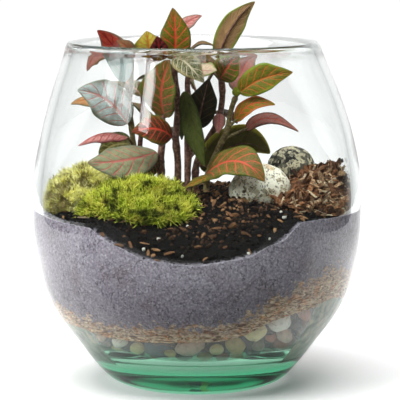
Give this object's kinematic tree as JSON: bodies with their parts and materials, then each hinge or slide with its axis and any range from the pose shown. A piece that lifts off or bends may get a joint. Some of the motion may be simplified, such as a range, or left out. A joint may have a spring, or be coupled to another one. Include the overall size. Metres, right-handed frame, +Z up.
{
  "type": "glass plant terrarium",
  "caption": "Round open glass bowl planted with leafy nerve plant stems, moss cushions, stones and bark mulch over layered soil, fibre and gravel.",
  "frame": {"origin": "on the floor under the bowl's axis, in the middle of the flat foot", "axes": "+Z up along the bowl's axis, -Y towards the front, +X to the right as seen from the front"},
  "size_m": [0.1704, 0.1704, 0.1973],
  "materials": {
    "recycled_glass": "clear green-tinted glass, polished, thick at the foot",
    "river_gravel": "rounded mixed pebbles, damp",
    "coir_fibre": "matted brown coir and bark fibre",
    "potting_soil": "dark crumbly peat soil, dusty grey against the glass",
    "moss": "soft tufted moss",
    "shredded_bark": "shredded reddish bark chips",
    "grey_granite": "tumbled grey and black granite",
    "cream_granite": "tumbled cream granite with dark specks",
    "nerve_plant": "soft green leaves with red to pink veins, pale fleshy stems"
  },
  "bodies": {
    "root": {"glass_bowl": "recycled_glass", "gravel_layer": "river_gravel", "fibre_layer": "coir_fibre", "potting_soil": "potting_soil", "moss_cushion_left": "moss", "moss_cushion_front": "moss", "bark_mulch": "shredded_bark", "stone_back": "grey_granite", "stone_front": "cream_granite", "fittonia_stem_1": "nerve_plant", "fittonia_stem_2": "nerve_plant", "fittonia_stem_3": "nerve_plant", "fittonia_stem_4": "nerve_plant", "fittonia_stem_5": "nerve_plant", "fittonia_stem_6": "nerve_plant", "fittonia_stem_7": "nerve_plant", "fittonia_stem_8": "nerve_plant", "fittonia_stem_9": "nerve_plant"}
  },
  "joints": []
}
